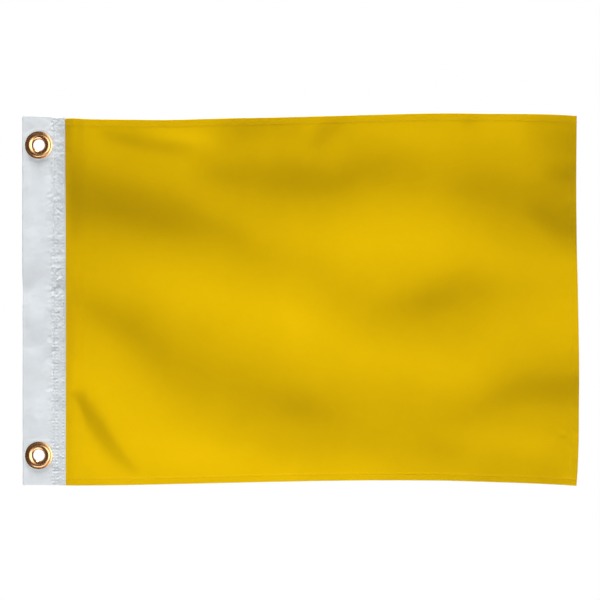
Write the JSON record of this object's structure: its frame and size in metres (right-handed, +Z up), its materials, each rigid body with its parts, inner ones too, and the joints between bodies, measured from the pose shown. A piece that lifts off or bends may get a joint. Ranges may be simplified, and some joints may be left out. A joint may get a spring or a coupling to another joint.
{
  "type": "flag",
  "caption": "Plain rectangular fabric flag with hemmed edges, a folded hoist heading and metal grommets, hanging nearly flat in soft folds.",
  "frame": {"origin": "centre of the upper grommet's hole, in the plane of the fly's cloth", "axes": "+X along the fly, away from the hoist edge; +Z up along the heading; the front of the cloth and the grommets' domed sides face -Y"},
  "size_m": [0.4572, 0.0069, 0.3097],
  "materials": {
    "yellow_nylon": "plain-woven nylon with a soft sheen",
    "white_heading_tape": "smooth woven polyester tape",
    "white_stiffening": "matt stiffening",
    "polished_brass": "polished",
    "white_thread": "twisted thread",
    "yellow_thread": "twisted thread"
  },
  "bodies": {
    "heading": {"heading_tape": "white_heading_tape", "fly_hoist_margin": "yellow_nylon", "upper_reinforcement_patch": "white_stiffening", "lower_reinforcement_patch": "white_stiffening", "upper_grommet": "polished_brass", "lower_grommet": "polished_brass", "upper_grommet_washer": "polished_brass", "lower_grommet_washer": "polished_brass", "heading_first_row_needle_thread": "white_thread", "heading_first_row_bobbin_thread": "white_thread", "heading_second_row_needle_thread": "white_thread", "heading_second_row_bobbin_thread": "white_thread", "heading_edge_row_needle_thread": "white_thread", "heading_edge_row_bobbin_thread": "white_thread"},
    "fly": {"fly_panel": "yellow_nylon", "top_hem_needle_thread": "yellow_thread", "top_hem_bobbin_thread": "yellow_thread", "bottom_hem_needle_thread": "yellow_thread", "bottom_hem_bobbin_thread": "yellow_thread", "fly_hem_needle_thread": "yellow_thread", "fly_hem_bobbin_thread": "yellow_thread"}
  },
  "joints": [
    {"name": "fly_swing", "type": "hinge", "parent": "heading", "child": "fly", "pos_m": [0.0236, 0, 0], "axis": [0, 0, 1], "range_deg": [-110, 110]}
  ]
}
